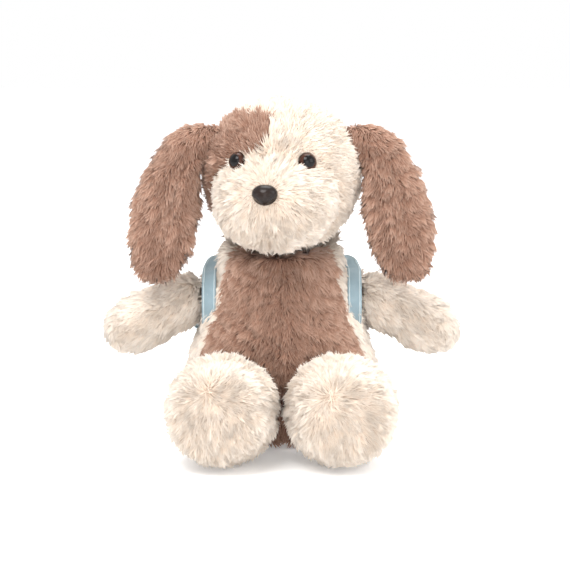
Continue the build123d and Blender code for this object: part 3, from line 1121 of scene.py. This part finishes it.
@dataclass
class Arm(StuffedPart):
    """One stubby arm, combed toward its paw.

    Attributes:
        side: which arm.
        droop: how far the arm hangs, in degrees.
        forward: how far it reaches forward, in degrees.
    """

    side: Side = Side.LEFT
    droop: float = 26.0
    forward: float = 8.0

    def axis(self) -> Array:
        """The direction from shoulder to paw."""
        droop = math.radians(self.droop)
        ahead = math.radians(self.forward)
        return np.array([self.side.value * math.cos(droop) * math.cos(ahead),
                         -math.cos(droop) * math.sin(ahead), -math.sin(droop)])

    def along(self, points: Array) -> Array:
        """How far a place is along the arm from the shoulder."""
        return (points - self.side.mirror(SHOULDER)) @ self.axis()

    def bare(self, points: Array) -> Array:
        """No pile grows inside the torso."""
        return (self.along(points) < -13).astype(float)

    def comb(self, points: Array, normals: Array) -> Array:
        """Toward the paw and down."""
        paw = rise(self.along(points), 30, 58)[:, None]
        return self.axis() * (1 - 0.5 * paw) + np.array([0.0, 0.0, -0.45]) - 0.25 * paw * np.array([0, 0, 1.0])


@dataclass
class Leg(StuffedPart):
    """One leg with its big round foot, whose pile turns about a crown on the sole.

    Attributes:
        crown: the crown on the sole, for this leg.
        sole: Y of the sole's edge.
    """

    crown: Point = (27.0, -122.0, 47.0)
    sole: float = -95.7

    def bare(self, points: Array) -> Array:
        """No pile grows inside the torso."""
        return (points[:, 1] > -36).astype(float)

    def seam(self, points: Array) -> Array:
        """The sole's edge and where the foot stands."""
        return ((np.abs(points[:, 1] - self.sole) < 2.4) | (points[:, 2] < 3)).astype(float)

    def sculpt(self, points: Array, normals: Array) -> Array:
        """Draw in the sole's edge and keep the foot flat where it stands."""
        edge = groove(points[:, 1] - self.sole, 4.0) * 1.4
        points = points - normals * edge[:, None]
        points[:, 2] = np.maximum(points[:, 2], 1.2)
        return points

    def comb(self, points: Array, normals: Array) -> Array:
        """Out from the crown on the sole, and back along the leg behind it."""
        out = unit(points - np.array(self.crown)) + np.array([0.0, 0.0, -0.3])
        back = np.array([0.0, 0.8, -0.45])
        share = rise(points[:, 1], -100, -80)[:, None]
        return out * (1 - share) + back * share

    def regions(self) -> list[Region]:
        """The sole and the rest of the leg."""
        def sole(p: Array) -> Array:
            """The sole."""
            return (p[:, 1] < self.sole).astype(float)

        return [("sole_pile", CREAM, sole, self.panels[2:]),
                ("upper_pile", CREAM, lambda p: 1 - sole(p), self.panels[:2])]


@dataclass
class Tail(StuffedPart):
    """The short tail.

    Attributes:
        rise: the tail's lift from level, in degrees.
    """

    rise: float = 32.0

    def comb(self, points: Array, normals: Array) -> Array:
        """Toward the tip."""
        lift = math.radians(self.rise)
        return np.tile(np.array([0.0, math.cos(lift), math.sin(lift)]), (len(points), 1))


@dataclass
class CopiedPart:
    """A piece that starts from one CAD node's own shape.

    Attributes:
        node: the CAD node that it stands for.
        body: the CAD body that it moves with.
        cloth: its finish.
        voxel: the size of its faces, in millimetres.
        ending: what its name adds to the node's.
        softening: how many times it is smoothed.
        fill: how tight its stuffing is; not used.
    """

    node: str
    body: str
    cloth: WovenCloth
    voxel: float
    ending: ClassVar[str]
    softening: ClassVar[int]
    fill: ClassVar[float]

    def build(self) -> None:
        """Copy the CAD solid as an even skin, soften it and shape it."""
        piece = copy_of(self.node + self.ending, (self.node,))
        remesh(piece, self.voxel)
        relax(piece, self.softening)
        set_points(piece, self.shape(get_points(piece), get_normals(piece)))
        finish(piece, self.cloth.material)
        declare(piece, self.body, (self.node,))

    def shape(self, points: Array, normals: Array) -> Array:
        """Give the softened skin its own shape."""
        raise NotImplementedError


@dataclass
class Filling(CopiedPart):
    """One lump of fibre or one bag of pellets inside the dog.

    Attributes:
        lumps: how deep its lumps are, in millimetres.
        inset: how much smaller than the CAD solid it is, in millimetres.
    """

    voxel: float = 3.0
    lumps: float = 0.8
    inset: float = 4.4
    ending: ClassVar[str] = "_lump"
    softening: ClassVar[int] = 2
    fill: ClassVar[float] = 0.6

    def shape(self, points: Array, normals: Array) -> Array:
        """Draw the skin in, and make it lumpy."""
        return points - normals * (self.inset + (1 + waves(points, 12.0, 31)[:, :1]) * 0.5 * self.lumps)


# ---- Eyes, nose and washers ----
@dataclass
class Button:
    """A glossy moulded eye or nose, turned about its own axis.

    Attributes:
        node: the CAD node that it stands for.
        gloss: its finish.
        centre: where it sits on the head, in millimetres.
        outward: the direction that it faces.
        profile: radius and height of its outline, from the middle of its front to the end of its shank.
        oval: how much wider and taller than round it is.
    """

    node: str
    gloss: Gloss
    centre: Point
    outward: Point
    profile: tuple[tuple[float, float], ...]
    oval: tuple[float, float] = (1.0, 1.0)

    def build(self) -> None:
        """Spin the outline, smooth it, and set it on the head."""
        piece = self.spin()
        points = get_points(piece)
        radius = np.hypot(points[:, 0], points[:, 1])
        store(piece, "ring", np.clip(radius / max(r for r, _ in self.profile), 0, 1))
        points[:, 0] *= self.oval[0]
        points[:, 1] *= self.oval[1]
        points = self.shape(points)
        out = unit(np.array(self.outward))
        right = unit(np.cross(np.array([0.0, 0.0, 1.0]), out))
        up = np.cross(out, right)
        placed = np.array(self.centre) + points[:, :1] * right + points[:, 1:2] * up + points[:, 2:] * out
        set_points(piece, placed)
        face_out(piece)
        finish(piece, self.gloss.material)
        declare(piece, "head", (self.node,))

    def shape(self, points: Array) -> Array:
        """Nothing more than the spun outline."""
        return points

    def spin(self) -> Piece:
        """Spin the outline about Z into a closed lump."""
        mesh = bpy.data.meshes.new(self.node + "_button")
        outline = [(r * MM, 0.0, h * MM) for r, h in self.profile]
        mesh.from_pydata(outline, [(i, i + 1) for i in range(len(outline) - 1)], [])
        piece = link(self.node + "_button", mesh)
        merge_doubles(piece, 0.01, lambda: bpy.ops.mesh.spin(steps=40, angle=2 * math.pi, center=(0, 0, 0),
                                                            axis=(0, 0, 1)))
        subdivide(piece)
        return piece


@dataclass
class Nose(Button):
    """The nose: broad at the top and narrow at the bottom, with two shallow nostrils."""

    def shape(self, points: Array) -> Array:
        """Widen the top, narrow the bottom and press in the nostrils."""
        x, y, z = points.T
        front = rise(z, -2.0, 1.0)
        points[:, 0] = x * (1 + 0.06 * rise(y, -2, 4) - 0.34 * rise(-y, 0, 6) * front)
        points[:, 1] = y - 0.35 * groove(x, 2.5) * front
        for side in Side:
            away = np.hypot(x - side.value * 4.2, y + 1.6)
            points[:, 2] -= groove(away, 1.5) * front * 0.6
        return points


# ---- Rucksack ----
@dataclass
class Strap:
    """One shoulder strap: webbing over the shoulder, round the front and back under the arm.

    Attributes:
        side: which strap.
        width: the webbing's width in millimetres.
        thick: its thickness in millimetres.
        stitch: the thickness of the stitching in millimetres.
        top: points from the rucksack over the shoulder, for the left strap.
        bottom: points from under the arm back to the rucksack.
        bend: X, Y, Z and radius of the bend round the front of the shoulder.
    """

    side: Side
    width: float = 9.0
    thick: float = 1.6
    stitch: float = 0.56
    top: tuple[Point, ...] = ((19.0, 31.2, 104.0), (30.0, 26.0, 112.0), (42.0, 13.0, 113.0))
    bottom: tuple[Point, ...] = ((54.0, 17.0, 68.0), (46.0, 33.0, 65.0), (27.0, 43.3, 61.5))
    bend: tuple[float, float, float, float] = (45.5, 4.0, 87.0, 19.7)

    def path(self) -> Array:
        """The strap's centre line, evenly spaced and smooth."""
        x, y, z, radius = self.bend
        turns = [math.radians(20 * step) for step in range(10)]
        points = list(self.top)
        points += [(x, y - radius * math.sin(t), z + radius * math.cos(t)) for t in turns]
        points += list(self.bottom)
        line = np.array(points)
        for _ in range(3):
            cut = np.empty((len(line) * 2 - 2, 3))
            cut[0::2] = line[:-1] * 0.75 + line[1:] * 0.25
            cut[1::2] = line[:-1] * 0.25 + line[1:] * 0.75
            line = np.concatenate([line[:1], cut, line[-1:]])
        return line * np.array([self.side.value, 1, 1])

    def build(self) -> None:
        """Sweep the webbing along its path, with its edges rolled and stitched."""
        line = self.path()
        along = unit(np.gradient(line, axis=0))
        across = unit(np.array([1.0, 0, 0]) - along * along[:, :1])
        face = unit(np.cross(across, along))
        word = self.side.word
        self.piece(f"{word}_strap_band", line, across, face, self.section(), WEBBING, (f"{word}_shoulder_strap",))
        thread = self.stitch / 2
        ring = [(thread * math.cos(a), thread * math.sin(a)) for a in np.linspace(0, 2 * math.pi, 7)[:-1]]
        for edge, edge_word in ((-1, "in"), (1, "out")):
            shift = line + across * edge * (self.width / 2 - 1.3)
            for top, top_word in ((-1, "a"), (1, "b")):
                raised = shift + face * top * (self.thick / 2 + 0.02)
                self.piece(f"{word}_strap_stitching_{edge_word}_{top_word}", raised, across, face, ring, THREAD)

    def section(self) -> list[tuple[float, float]]:
        """The webbing's cross-section: flat with rolled edges."""
        half, thin = self.width / 2, self.thick / 2
        side = [(half - thin + thin * math.sin(a), thin * math.cos(a)) for a in np.linspace(0, math.pi, 6)]
        flat = [(0.5 * half * s, thin * 0.92) for s in (-1, 0, 1)]
        return flat + side + [(-u, -v) for u, v in flat] + [(-u, -v) for u, v in side]

    def piece(self, name: str, line: Array, across: Array, face: Array,
              section: list[tuple[float, float]], cloth: WovenCloth, nodes: tuple[str, ...] = ()) -> None:
        """Sweep a section along a line, close its ends and dress it.

        Args:
            name: the piece's name.
            line: the centre line.
            across: the direction across the strap at each point.
            face: the direction out of the strap at each point.
            section: the cross-section.
            cloth: the finish.
            nodes: the CAD nodes that it stands for, if any.
        """
        count, sides = len(line), len(section)
        points = np.concatenate([line[i] + np.array([across[i] * u + face[i] * v for u, v in section])
                                 for i in range(count)])
        corner = np.arange(count * sides).reshape(count, sides)
        near, far = corner[:-1], corner[1:]
        quads = np.stack([near, np.roll(near, -1, axis=1), np.roll(far, -1, axis=1), far], axis=-1)
        faces = quads.reshape(-1, 4).tolist() + [corner[0].tolist(), corner[-1].tolist()]
        mesh = bpy.data.meshes.new(name)
        mesh.from_pydata((points * MM).tolist(), [], faces)
        obj = link(name, mesh)
        face_out(obj)
        finish(obj, cloth.material)
        declare(obj, "torso", nodes)


@dataclass
class SoftCopy(CopiedPart):
    """A thin cloth piece of the rucksack.

    Attributes:
        pucker: how deep its puckers are, in millimetres.
    """

    voxel: float = 0.8
    pucker: float = 0.45
    ending: ClassVar[str] = "_cloth"
    softening: ClassVar[int] = 8
    fill: ClassVar[float] = 0.3

    def shape(self, points: Array, normals: Array) -> Array:
        """Pucker the cloth."""
        return points + waves(points, 14.0, 41) * self.pucker


@dataclass
class Stitching:
    """Rows of stitches round the rucksack's flap and pouch.

    Attributes:
        place: the rucksack's lower front edge, in millimetres.
        lean: how far it leans, in degrees.
        pitch: the stitches' spacing, in millimetres.
        radius: a stitch's thickness, in millimetres.
        flap: Y of the flap's outer face, in the rucksack's own frame.
        pouch: Y of the pouch's outer face.
    """

    place: Point = (0.0, 47.5, 58.0)
    lean: float = 16.0
    pitch: float = 2.6
    radius: float = 0.32
    flap: float = 24.65
    pouch: float = 20.2

    def build(self) -> None:
        """Sew the flap's edges and the pouch's back."""
        self.row("flap_stitching", "flap", self.flap,
                 [(-30.5, 49.0, -30.5, 24.8), (-30.5, 24.8, 30.5, 24.8), (30.5, 24.8, 30.5, 49.0)])
        self.row("pouch_stitching", "torso", self.pouch,
                 [(-27.0, 3.0, 27.0, 3.0), (-27.0, 3.0, -27.0, 20.0), (27.0, 3.0, 27.0, 20.0),
                  (-27.0, 18.0, 27.0, 18.0)])

    def row(self, name: str, body: str, out: float, runs: list[tuple[float, float, float, float]]) -> None:
        """Sew straight runs of stitches.

        Args:
            name: the piece's name.
            body: the CAD body that it moves with.
            out: Y of the cloth that they lie on, in the rucksack's own frame.
            runs: X and Z of each run's start, then of its end.
        """
        points, faces = [], []
        for run in runs:
            first, last = np.array([run[0], out, run[1]]), np.array([run[2], out, run[3]])
            way = unit((last - first)[None])[0]
            for step in np.arange(self.pitch * 0.3, np.linalg.norm(last - first), self.pitch):
                self.stitch(first + way * step, way, points, faces)
        cos, sin = math.cos(math.radians(self.lean)), math.sin(math.radians(self.lean))
        x, y, z = np.array(points).T
        placed = np.stack([x, y * cos - z * sin, y * sin + z * cos], axis=1)
        obj = mesh_object(name, placed + np.array(self.place), np.array(faces))
        face_out(obj)
        obj.data.materials.append(Shelf.take(THREAD.material))
        declare(obj, body)

    def stitch(self, middle: Array, way: Array, points: list, faces: list) -> None:
        """Add one stitch: a short spindle lying on the cloth."""
        out = np.array([0.0, 1.0, 0.0])
        side = np.cross(way, out)
        base = len(points)
        half = self.pitch * 0.34
        points.append(middle - way * half)
        for turn in range(5):
            angle = 2 * math.pi * turn / 5
            points.append(middle + (side * math.cos(angle) + out * math.sin(angle)) * self.radius)
        points.append(middle + way * half)
        for turn in range(5):
            after = (turn + 1) % 5
            faces.append((base, base + 1 + after, base + 1 + turn))
            faces.append((base + 6, base + 1 + turn, base + 1 + after))


# ---- Setting ----
@dataclass
class Setting:
    """The pale floor, soft lights and camera.

    Attributes:
        target: what the camera looks at, in metres.
        distance: the camera's distance from it, in metres.
        elevation: the camera's height above level, in degrees.
        lens: the lens in millimetres.
        world: the strength of the light from all round.
        lamps: each lamp's name, place, size in metres and power in watts.
    """

    target: Point = (0.002, 0.0, 0.0966)
    distance: float = 1.2
    elevation: float = 8.0
    lens: float = 120.0
    world: float = 1.0
    lamps: tuple[tuple[str, Point, float, float], ...] = (
        ("key", (-0.45, -1.0, 1.5), 0.8, 16.0), ("fill", (1.2, -0.7, 0.7), 1.0, 7.0),
        ("front", (0.1, -1.5, 0.35), 1.0, 5.0), ("back", (0.4, 1.3, 0.8), 1.0, 6.0),
        ("top", (0.1, 0.3, 1.4), 0.8, 8.0))

    def build(self) -> None:
        """Make the setting."""
        scene = bpy.context.scene
        scene.view_settings.view_transform = "Standard"
        self.light_world(scene)
        self.floor()
        for lamp in self.lamps:
            self.lamp(*lamp)
        tilt = math.radians(self.elevation)
        data = bpy.data.cameras.new("camera")
        data.lens = self.lens
        data.clip_start = 0.01
        camera = link("camera", data)
        x, y, z = self.target
        camera.location = (x, y - self.distance * math.cos(tilt), z + self.distance * math.sin(tilt))
        camera.rotation_euler = (math.pi / 2 - tilt, 0.0, 0.0)
        scene.camera = camera

    def light_world(self, scene: bpy.types.Scene) -> None:
        """A white world."""
        world = bpy.data.worlds.new("studio")
        world.use_nodes = True
        back = world.node_tree.nodes["Background"]
        back.inputs[0].default_value = (1.0, 1.0, 1.0, 1.0)
        back.inputs[1].default_value = self.world
        scene.world = world

    def floor(self) -> None:
        """A plain pale floor."""
        bpy.ops.mesh.primitive_plane_add(size=12.0, location=(0, 0, 0))
        floor = bpy.context.object
        floor.name = "floor"
        material, tree, shader = new_material("floor_paper")
        stops = [(0.0, (0.93, 0.93, 0.93)), (1.0, (0.96, 0.96, 0.96))]
        join(tree, ramp_node(tree, noise_node(tree, 40.0, 2.0), stops), shader.inputs["Base Color"])
        shader.inputs["Roughness"].default_value = 0.9
        shader.inputs["Emission Color"].default_value = (1.0, 1.0, 1.0, 1.0)
        shader.inputs["Emission Strength"].default_value = 0.25
        floor.data.materials.append(material)

    def lamp(self, name: str, place: Point, size: float, power: float) -> None:
        """One large soft lamp that faces the dog."""
        data = bpy.data.lights.new(name, "AREA")
        data.size = size
        data.energy = power
        lamp = link(name, data)
        lamp.location = place
        towards = np.array([0, 0, 0.1]) - np.array(place)
        flat = math.hypot(towards[0], towards[1])
        lamp.rotation_euler = (math.pi / 2 + math.atan2(towards[2], flat), 0, math.atan2(-towards[0], towards[1]))


def fillings() -> list[Filling]:
    """Every filling in the dog."""
    rows = [Filling("torso_filling", "torso", FIBRE), Filling("head_filling", "head", FIBRE),
            Filling("neck_filling", "neck", FIBRE), Filling("tail_filling", "tail", FIBRE, 1.5, 0.4, 0.8),
            Filling("seat_pellet_bag", "torso", PELLET_CLOTH)]
    for side in Side:
        word = side.word
        for limb in ("arm", "leg"):
            rows.append(Filling(f"{word}_{limb}_root_filling", f"{word}_{limb}_root", FIBRE))
            rows.append(Filling(f"{word}_{limb}_filling", f"{word}_{limb}", FIBRE))
    return rows


def stuffed_parts() -> list[StuffedPart]:
    """Every stuffed part of the dog."""
    parts: list[StuffedPart] = [
        Torso("torso", "torso", ("tummy_panel_left", "tummy_panel_right", "side_panel_left", "side_panel_right",
                                 "seat_panel"), ("torso_filling", "seat_pellet_bag"), 100),
        Head("head", "head", ("face_patch_panel", "forehead_panel", "back_head_panel_left", "back_head_panel_right",
                              "muzzle_panel"), ("head_filling",), 200, 2.6),
        Tail("tail", "tail", ("tail_panel_left", "tail_panel_right"), ("tail_filling",), 300, 2.0, 2.0, 0.5),
    ]
    for side in Side:
        word = side.word
        step = 40 * (side is Side.LEFT)
        parts.append(Ear(f"{word}_ear", f"{word}_ear", (f"{word}_ear_outer", f"{word}_ear_lining"), (),
                         400 + step, 2.2, 3.0, 0.8, 0.4, side=side))
        parts.append(Arm(f"{word}_arm", f"{word}_arm", (f"{word}_arm_upper_panel", f"{word}_arm_lower_panel"),
                         (f"{word}_arm_filling",), 500 + step, side=side))
        x = 27.0 if side is Side.LEFT else -42.6
        parts.append(Leg(f"{word}_leg", f"{word}_leg",
                         (f"{word}_leg_upper_panel", f"{word}_leg_lower_panel", f"{word}_leg_sole_panel"),
                         (f"{word}_leg_filling",), 600 + step, crown=(x, -122.0, 47.0)))
    return parts


def face_buttons(head: Head) -> list[Button]:
    """The eyes and the nose, placed on the head."""
    dome = tuple((6.4 * math.sin(a), 7.0 * math.cos(a) - 2.6) for a in np.linspace(0, 1.18, 9))
    shank = ((6.2, -0.4), (2.0, -0.6), (1.9, -9.0), (0.0, -9.0))
    buttons = []
    for side in Side:
        out = head.world(head.eye_place(side)[None])[0]
        place = out * 0.965 + np.array(head.centre)
        buttons.append(Button(f"{side.word}_eye", EYE_GLOSS, tuple(place), tuple(out), dome + shank))
    nose_place = head.world(np.array([head.nose]))[0] + np.array(head.centre)
    nose_out = head.world(np.array([[0.0, -28.4, 11.0]]))[0]
    lump = tuple((7.0 * math.sin(a), 5.8 * math.cos(a)) for a in np.linspace(0, 2.2, 12))
    buttons.append(Nose("nose", NOSE_GLOSS, tuple(nose_place), tuple(nose_out),
                        lump + ((2.0, -3.6), (1.9, -9.0), (0.0, -9.0)), (1.1, 0.93)))
    return buttons


def rucksack_cloths() -> list[SoftCopy]:
    """The rucksack's pouch and flap, and the two patches that hold it shut."""
    return [SoftCopy("rucksack_pouch", "torso", CANVAS), SoftCopy("rucksack_flap", "flap", CANVAS),
            SoftCopy("flap_hook_patch", "flap", HOOK_TAPE, pucker=0.1),
            SoftCopy("pouch_loop_patch", "torso", HOOK_TAPE, pucker=0.1)]


def dress_washers() -> None:
    """Give the washers' CAD nodes their plastic."""
    for node in ("left_eye_washer", "right_eye_washer", "nose_washer"):
        ring = bpy.data.objects[FrameNodes.names[node]]
        ring.data.materials.clear()
        ring.data.materials.append(Shelf.take(WASHER_GLOSS.material))


def main() -> None:
    """Build the dog in order."""
    logging.basicConfig(level=logging.INFO)
    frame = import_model()
    FrameNodes.names = {name: node.name for name, node in frame["nodes"].items()}
    Setting().build()
    for filling in fillings():
        filling.build()
    parts = stuffed_parts()
    for part in parts:
        part.build()
        LOG.info("%s is built", part.name)
    for button in face_buttons(parts[1]):
        button.build()
    dress_washers()
    for side in Side:
        Strap(side).build()
    for piece in rucksack_cloths():
        piece.build()
    Stitching().build()


if __name__ == "__main__":
    main()
